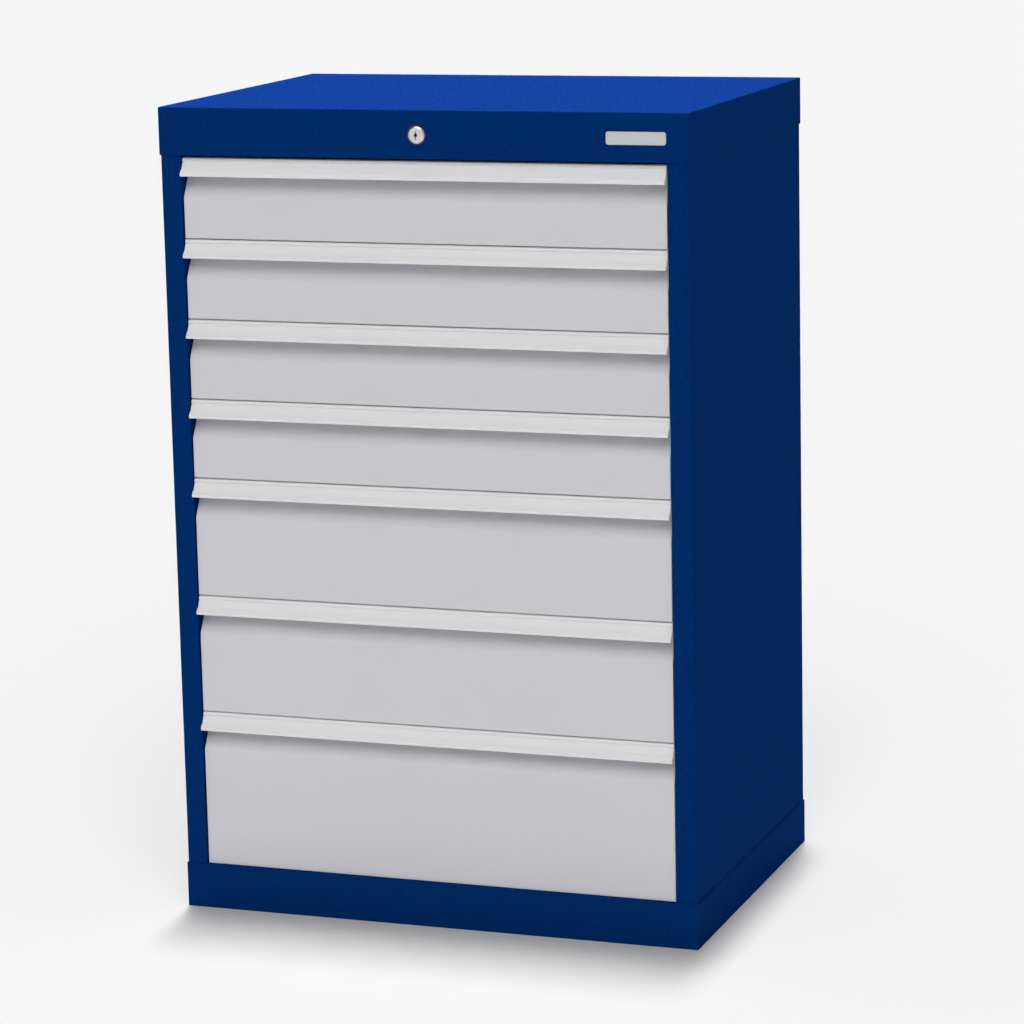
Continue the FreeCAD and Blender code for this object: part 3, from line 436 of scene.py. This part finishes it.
# the blue coat carries a painted sheen on its upward faces
blueCoat = powderCoat("blueCoat", paintLook["blue"], paintLook["blueSpeck"],
                      paintLook["blueGloss"], withPaintedSheen=True)
greyCoat = powderCoat("greyCoat", paintLook["grey"], *greyKind)
trayCoat = powderCoat("trayCoat", paintLook["tray"], *greyKind)
gripFinish = gripCoat()
labelFinish = labelCard()
zincAlong = zincCoat("zincAlong", "Y")
zincUp = zincCoat("zincUp", "Z")
lockFinish = lockMetal()
plateFinish = plateMetal()
guideFinish = guidePlastic()
ballFinish = ballMetal()
print("finishes made")


# finishes on the CAD pieces

def dress(finish, *names):
    for name in names:
        materials = cadNodes[name].data.materials
        materials.clear()
        materials.append(finish)


dress(blueCoat, "left_side_panel", "right_side_panel", "back_panel")
dress(blueCoat, "top_cover", "base_plinth", "bottom_plate")
dress(zincUp, "left_uprights", "right_uprights", "lock_bar", "lock_bearing")
dress(zincAlong, "left_slide_rails", "right_slide_rails", "lock_nut", "lock_shaft")
dress(plateFinish, "name_plate")
dress(lockFinish, "lock_housing", "lock_plug")
dress(guideFinish, "lock_bar_guides")
for number in drawerNumbers:
    dress(greyCoat, f"drawer_{number}_front")
    dress(trayCoat, f"drawer_{number}_tray")
    dress(gripFinish, f"drawer_{number}_grip")
    dress(labelFinish, f"drawer_{number}_label")
    dress(zincAlong, f"drawer_{number}_slide_inner", f"drawer_{number}_slide_middle")
print("CAD pieces dressed")


# pieces made here, in the cabinet's own frame

def addPiece(mesh, name, finish, body):
    data = bpy.data.meshes.new(name)
    mesh.normal_update()
    mesh.to_mesh(data)
    mesh.free()
    data.materials.append(finish)
    piece = bpy.data.objects.new(name, data)
    bpy.context.scene.collection.objects.link(piece)
    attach(piece, body)
    return piece


def addRun(mesh, profile, start, end):  # a closed outline in Y and Z drawn out along X
    rings = []
    for x in (start, end):
        rings.append([mesh.verts.new((x, y, z)) for y, z in profile])
    count = len(profile)
    for index in range(count):
        after = (index + 1) % count
        mesh.faces.new((rings[0][index], rings[0][after], rings[1][after], rings[1][index]))
    mesh.faces.new(reversed(rings[0]))
    mesh.faces.new(rings[1])


# radius and height pairs turned round an axis, closed where the radius is nought
def addTurned(mesh, outline, centre, axis, steps):
    facing = Vector(axis).to_track_quat("Z", "Y").to_matrix()
    rings = []
    for radius, height in outline:
        ring = []
        for step in range(steps if radius else 1):
            turn = 2 * math.pi * step / steps
            spot = Vector((radius * math.cos(turn), radius * math.sin(turn), height))
            ring.append(mesh.verts.new(Vector(centre) + facing @ spot))
        rings.append(ring)
    for first, second in zip(rings, rings[1:]):
        for step in range(steps):
            after = (step + 1) % steps
            corners = [first[step % len(first)], first[after % len(first)]]
            corners += [second[after % len(second)], second[step % len(second)]]
            mesh.faces.new(list(dict.fromkeys(corners)))


def smooth(piece, angle=35):  # rounds the shading, except over edges sharper than this
    for polygon in piece.data.polygons:
        polygon.use_smooth = True
    piece.data.set_sharp_from_angle(angle=math.radians(angle))


rivetLook = {
    "head": 3.2 * mm,
    "rise": 1.1 * mm,
    "edge": 0.12 * mm,
    "sunk": 0.1 * mm,
    "footShare": 0.93,  # the foot is a little narrower than the head
    "mandrel": 1.1 * mm,
    "dishShare": 0.95,  # the mandrel's broken end is dished
    "dishRise": 0.62,
    "middleRise": 0.66,
    "domeSteps": 5,
    "steps": 24,
}


def addRivet(mesh, centre, axis):  # a domed pop rivet with its mandrel showing in the middle
    head = rivetLook["head"]
    rise = rivetLook["rise"]
    core = rivetLook["mandrel"]
    outline = [(head * rivetLook["footShare"], -rivetLook["sunk"]), (head, rivetLook["edge"])]
    for step in range(1, rivetLook["domeSteps"]):
        share = step / rivetLook["domeSteps"]
        outline.append((head - (head - core) * share, rise * math.sin(share * math.pi / 2)))
    outline += [(core, rise), (core * rivetLook["dishShare"], rise * rivetLook["dishRise"])]
    outline.append((0, rise * rivetLook["middleRise"]))
    addTurned(mesh, outline, centre, axis, rivetLook["steps"])


backLook = {
    "rivetsUp": 7,
    "firstUp": 95 * mm,
    "lastUp": 925 * mm,
    "inset": 9 * mm,  # from the side of the cabinet, in the middle of the rear flange
}


def makeBackRivets():
    low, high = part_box("left_side_panel")
    mesh = bmesh.new()
    across = -low.x - backLook["inset"]
    span = backLook["lastUp"] - backLook["firstUp"]
    for step in range(backLook["rivetsUp"]):
        z = backLook["firstUp"] + span * step / (backLook["rivetsUp"] - 1)
        for x in (-across, across):
            addRivet(mesh, (x, high.y, z), (0, 1, 0))
    smooth(addPiece(mesh, "back_rivets", ballFinish, "housing"))


trayLook = {
    "sheet": 1.0 * mm,
    "bend": 1.2 * mm,
    "bendSteps": 3,
    "bendAngle": 60,  # edges sharper than this are bends
    "rimWidth": 2.4 * mm,  # the rim is folded over inwards
    "rimDrop": 7 * mm,
    "slotPitch": 25 * mm,  # rows of slots that dividers hook into
    "slotWidth": 3 * mm,
    "slotHeight": 12 * mm,
    "slotClear": 6 * mm,  # from the topmost slot to the rim
    "firstRow": 16 * mm,
    "rowPitch": 36 * mm,
}


def slotEdges(length):  # ends of the slots along one wall, spread evenly about its middle
    pitch = trayLook["slotPitch"]
    count = int((length - pitch) / pitch)
    start = (length - (count - 1) * pitch) / 2
    edges = [0.0]
    for index in range(count):
        middle = start + index * pitch
        edges += [middle - trayLook["slotWidth"] / 2, middle + trayLook["slotWidth"] / 2]
    return edges + [length]


def wallPath(height):  # height and inset of each line from the floor up the wall and over the rim
    path = [(0.0, 0.0)]
    level = trayLook["firstRow"]
    rim = trayLook["rimWidth"]
    rimFoot = height - trayLook["rimDrop"]
    while level + trayLook["slotHeight"] < rimFoot - trayLook["slotClear"]:
        path += [(level, 0.0), (level + trayLook["slotHeight"], 0.0)]
        level += trayLook["rowPitch"]
    return path + [(height, 0.0), (height, rim), (rimFoot, rim)]


def makeTray(number):
    node = f"drawer_{number}_tray"
    low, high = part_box(node)
    back = high.y - catchLook["reach"]
    mesh = bmesh.new()
    known = {}

    def at(place):
        key = tuple(round(part, 6) for part in place)
        if key not in known:
            known[key] = mesh.verts.new(place)
        return known[key]

    corners = [Vector((low.x, low.y, low.z)), Vector((high.x, low.y, low.z))]
    corners += [Vector((high.x, back, low.z)), Vector((low.x, back, low.z))]
    path = wallPath(high.z - low.z)
    slotRows = range(1, len(path) - 4, 2)  # the lines at the feet of the slots
    floorLoop = []
    for index, corner in enumerate(corners):
        run = corners[(index + 1) % 4] - corner
        length = run.length
        along = run.normalized()
        inward = Vector((-along.y, along.x, 0))
        edges = slotEdges(length)

        def point(edge, line):
            level, inset = path[line]
            reach = min(max(edges[edge], inset), length - inset)
            return at(corner + along * reach + inward * inset + Vector((0, 0, level)))

        floorLoop += [point(edge, 0) for edge in range(len(edges) - 1)]
        for edge in range(len(edges) - 1):
            for line in range(len(path) - 1):
                if edge % 2 == 1 and line in slotRows:  # a slot stays open
                    continue
                foot = (point(edge, line), point(edge + 1, line))
                top = (point(edge + 1, line + 1), point(edge, line + 1))
                mesh.faces.new(foot + top)
    mesh.faces.new(list(reversed(floorLoop)))
    tray = addPiece(mesh, f"drawer_{number}_tray_sheet", trayCoat, f"drawer_{number}")
    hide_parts(node)
    bends = tray.modifiers.new("bends", "BEVEL")
    bends.width = trayLook["bend"]
    bends.segments = trayLook["bendSteps"]
    bends.limit_method = "ANGLE"
    bends.angle_limit = math.radians(trayLook["bendAngle"])
    thickness = tray.modifiers.new("thickness", "SOLIDIFY")
    thickness.thickness = trayLook["sheet"]
    thickness.offset = -1.0
    smooth(tray)
    makeCatch(number, back, low.z + catchLook["lift"])


catchLook = {
    "half": 15 * mm,
    "sheet": 1.5 * mm,
    "lift": 34 * mm,  # above the tray's floor
    "drop": 16 * mm,
    "reach": 22 * mm,
    "bend": 3 * mm,
    "bendTurns": (0, 0.4, 0.8, 1.2, math.pi / 2),
}


def makeCatch(number, wall, level):  # a tongue behind the tray, which the lock bar's hook holds
    sheet = catchLook["sheet"]
    bend = catchLook["bend"]
    end = wall + catchLook["reach"]
    foot = level - catchLook["drop"]
    middleY = end - bend
    middleZ = level + sheet - bend

    def arc(radius, turns):
        return [(middleY + radius * math.sin(turn), middleZ + radius * math.cos(turn))
                for turn in turns]

    outer = arc(bend, catchLook["bendTurns"])
    inner = arc(bend - sheet, reversed(catchLook["bendTurns"]))
    profile = [(wall, level + sheet)] + outer + [(end, foot), (end - sheet, foot)]
    profile += inner + [(wall, level)]
    mesh = bmesh.new()
    addRun(mesh, profile, -catchLook["half"], catchLook["half"])
    smooth(addPiece(mesh, f"drawer_{number}_catch", trayCoat, f"drawer_{number}"))


ballLook = {
    "radius": 1.42 * mm,
    "pitch": 15 * mm,
    "outset": 0.7 * mm,  # how far the middle of a ball lies behind the face of its cage
    "outerLevel": 20.07 * mm,  # above and below the middle of the slide
    "innerLevel": 15.92 * mm,
    "cageFace": 300.5 * mm,
    "cageLength": 180 * mm,
    "rings": 6,
    "steps": 12,
    "sharpAngle": 80,
}


def makeBalls(number):  # they show in the cages between the slide members
    low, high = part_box(f"drawer_{number}_slide_middle")
    centre = (low.z + high.z) / 2
    across = ballLook["cageFace"] + ballLook["outset"]
    rings = ballLook["rings"]
    outline = []
    for ring in range(rings + 1):
        turn = math.pi * ring / rings
        radius = ballLook["radius"] * math.sin(turn) if 0 < ring < rings else 0
        outline.append((radius, ballLook["radius"] * math.cos(turn)))
    rows = [(ballLook["outerLevel"], high.y - ballLook["cageLength"])]
    rows.append((ballLook["innerLevel"], low.y))
    count = int(ballLook["cageLength"] / ballLook["pitch"])
    mesh = bmesh.new()
    for level, start in rows:
        for index in range(count):
            y = start + ballLook["pitch"] * (index + 0.5)
            for x in (-across, across):
                for z in (centre - level, centre + level):
                    addTurned(mesh, outline, (x, y, z), (1, 0, 0), ballLook["steps"])
    body = f"drawer_{number}_middle_members"
    balls = addPiece(mesh, f"drawer_{number}_balls", ballFinish, body)
    smooth(balls, ballLook["sharpAngle"])


makeBackRivets()
for number in drawerNumbers:
    makeTray(number)
    makeBalls(number)
print("trays, balls and rivets made")


# stage, lights and camera

stageLook = {
    "floorHalf": 30.0,
    "floorColour": (0.596, 0.590, 0.582),
    "floorShades": (0.995, 1.005),
    "floorRoughness": 0.9,
    "floorFleckScale": 60.0,
    "domeRadius": 32.0,
    "domeSteps": 48,
    "paper": 0.920,  # how bright the paper behind the cabinet looks
}


def makeFloor():
    mesh = bpy.data.meshes.new("floor")
    half = stageLook["floorHalf"]
    corners = [(-half, -half, 0), (half, -half, 0), (half, half, 0), (-half, half, 0)]
    mesh.from_pydata(corners, [], [(0, 1, 2, 3)])
    floor = bpy.data.objects.new("floor", mesh)
    bpy.context.scene.collection.objects.link(floor)
    finish = Finish("floorPaper")
    fleck = finish.noise(stageLook["floorFleckScale"], detail=3.0)
    mesh.materials.append(finish.surface(
        Base_Color=finish.shaded(fleck, stageLook["floorColour"], stageLook["floorShades"]),
        Roughness=stageLook["floorRoughness"],
        Specular_IOR_Level=0.0,
    ))


def makeDome():
    mesh = bpy.data.meshes.new("backdrop")
    ball = bmesh.new()
    steps = stageLook["domeSteps"]
    radius = stageLook["domeRadius"]
    bmesh.ops.create_uvsphere(ball, u_segments=steps, v_segments=steps // 2, radius=radius)
    ball.to_mesh(mesh)
    ball.free()
    dome = bpy.data.objects.new("backdrop", mesh)
    bpy.context.scene.collection.objects.link(dome)
    finish = Finish("backdropPaper")
    white = tint((1, 1, 1), stageLook["paper"])
    glow = finish.add("ShaderNodeEmission", None, {"Color": white}, "Emission")
    mesh.materials.append(finish.finished(glow))
    for ray in ("visible_diffuse", "visible_glossy", "visible_transmission", "visible_shadow"):
        setattr(dome, ray, False)


lightLook = {
    "sky": 0.26,
    "skyColour": (0.87, 0.95, 1.10),
    # over the cover alone, because its rays hardly spread
    "topLamp": {"strength": 0.84, "colour": (0.95, 0.42, 1.0), "level": 1.1, "spread": 2},
    # a long strip of light above and behind the cabinet, made of a row of narrow suns
    "strip": {"strengths": (0.27, 0.28, 0.26, 0.19), "backLean": (2.8, 5.2, 7.6, 10.2),
              "leftLean": 1.6, "width": 3.6},
    # one wide soft light above the front, from the side of the camera
    "key": {"strength": 0.42, "lean": 43, "side": 20, "width": 40, "colour": (1.0, 0.985, 0.93)},
    # and a low weak one below it
    "fill": {"strength": 0.05, "lean": 78, "side": 20, "width": 40, "colour": (1.0, 1.0, 1.0)},
}


def makeLights():
    world = bpy.data.worlds.new("studio")
    bpy.context.scene.world = world
    world.use_nodes = True
    background = world.node_tree.nodes["Background"]
    background.inputs["Color"].default_value = (*lightLook["skyColour"], 1)
    background.inputs["Strength"].default_value = lightLook["sky"]
    strip = lightLook["strip"]
    left = math.tan(math.radians(strip["leftLean"]))
    for index, (strength, lean) in enumerate(zip(strip["strengths"], strip["backLean"]), 1):
        back = math.tan(math.radians(lean))
        addSun(f"strip{index}", strength, (-left, back, 1), strip["width"])
    for name in ("key", "fill"):
        look = lightLook[name]
        away = math.tan(math.radians(look["lean"]))
        side = math.radians(look["side"])
        position = (away * math.sin(side), -away * math.cos(side), 1)
        sun = addSun(name, look["strength"], position, look["width"])
        sun.color = look["colour"]
    addTopLamp()


def addSun(name, strength, position, width):
    sun = bpy.data.lights.new(name, "SUN")
    sun.energy = strength * math.pi
    sun.angle = math.radians(width)
    addLamp(sun, position)
    return sun


def addTopLamp():  # an area lamp as large as the cover
    look = lightLook["topLamp"]
    low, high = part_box("top_cover")
    light = bpy.data.lights.new("topLamp", "AREA")
    light.shape = "RECTANGLE"
    light.size = high.x - low.x
    light.size_y = high.y - low.y
    light.spread = math.radians(look["spread"])
    light.color = look["colour"]
    light.energy = look["strength"] * math.pi * light.size * light.size_y
    lamp = addLamp(light, (0, 0, look["level"]))
    lamp.visible_camera = False
    lamp.visible_glossy = False


def addLamp(light, position):  # every lamp shines towards the middle of the foot
    lamp = bpy.data.objects.new(light.name, light)
    bpy.context.scene.collection.objects.link(lamp)
    lamp.location = position
    lamp.rotation_mode = "QUATERNION"
    lamp.rotation_quaternion = Vector(position).to_track_quat("Z", "Y")
    return lamp


cameraFit = {  # found from the seven corners of the housing in the picture
    "azimuth": 19.864,
    "elevation": 11.259,
    "roll": -1.229,
    "distance": 4.8219,
    "across": 0.021198,
    "up": -0.028253,
    "focalPixels": 3759.8,
    "pictureWidth": 1024,
    "sensor": 36.0,
    "farthest": 120,
}


def makeCamera():
    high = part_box("top_cover")[1]
    middle = Vector((0, 0, high.z / 2))
    turn = math.radians(cameraFit["azimuth"])
    rise = math.radians(cameraFit["elevation"])
    roll = math.radians(cameraFit["roll"])
    level = math.cos(rise)
    back = Vector((math.sin(turn) * level, -math.cos(turn) * level, math.sin(rise)))
    right = (-back).cross(Vector((0, 0, 1))).normalized()
    up = right.cross(-back)
    rolledRight = right * math.cos(roll) + up * math.sin(roll)
    rolledUp = up * math.cos(roll) - right * math.sin(roll)
    data = bpy.data.cameras.new("camera")
    data.sensor_width = cameraFit["sensor"]
    data.lens = cameraFit["focalPixels"] * cameraFit["sensor"] / cameraFit["pictureWidth"]
    data.clip_end = cameraFit["farthest"]
    camera = bpy.data.objects.new("camera", data)
    bpy.context.scene.collection.objects.link(camera)
    spot = middle + back * cameraFit["distance"]
    spot = spot + rolledRight * cameraFit["across"] + rolledUp * cameraFit["up"]
    facing = Matrix((rolledRight, rolledUp, back)).transposed()
    camera.matrix_world = Matrix.Translation(spot) @ facing.to_4x4()
    bpy.context.scene.camera = camera


makeFloor()
makeDome()
makeLights()
makeCamera()
view = bpy.context.scene.view_settings
view.view_transform = "Standard"
view.look = "None"
print("stage set")
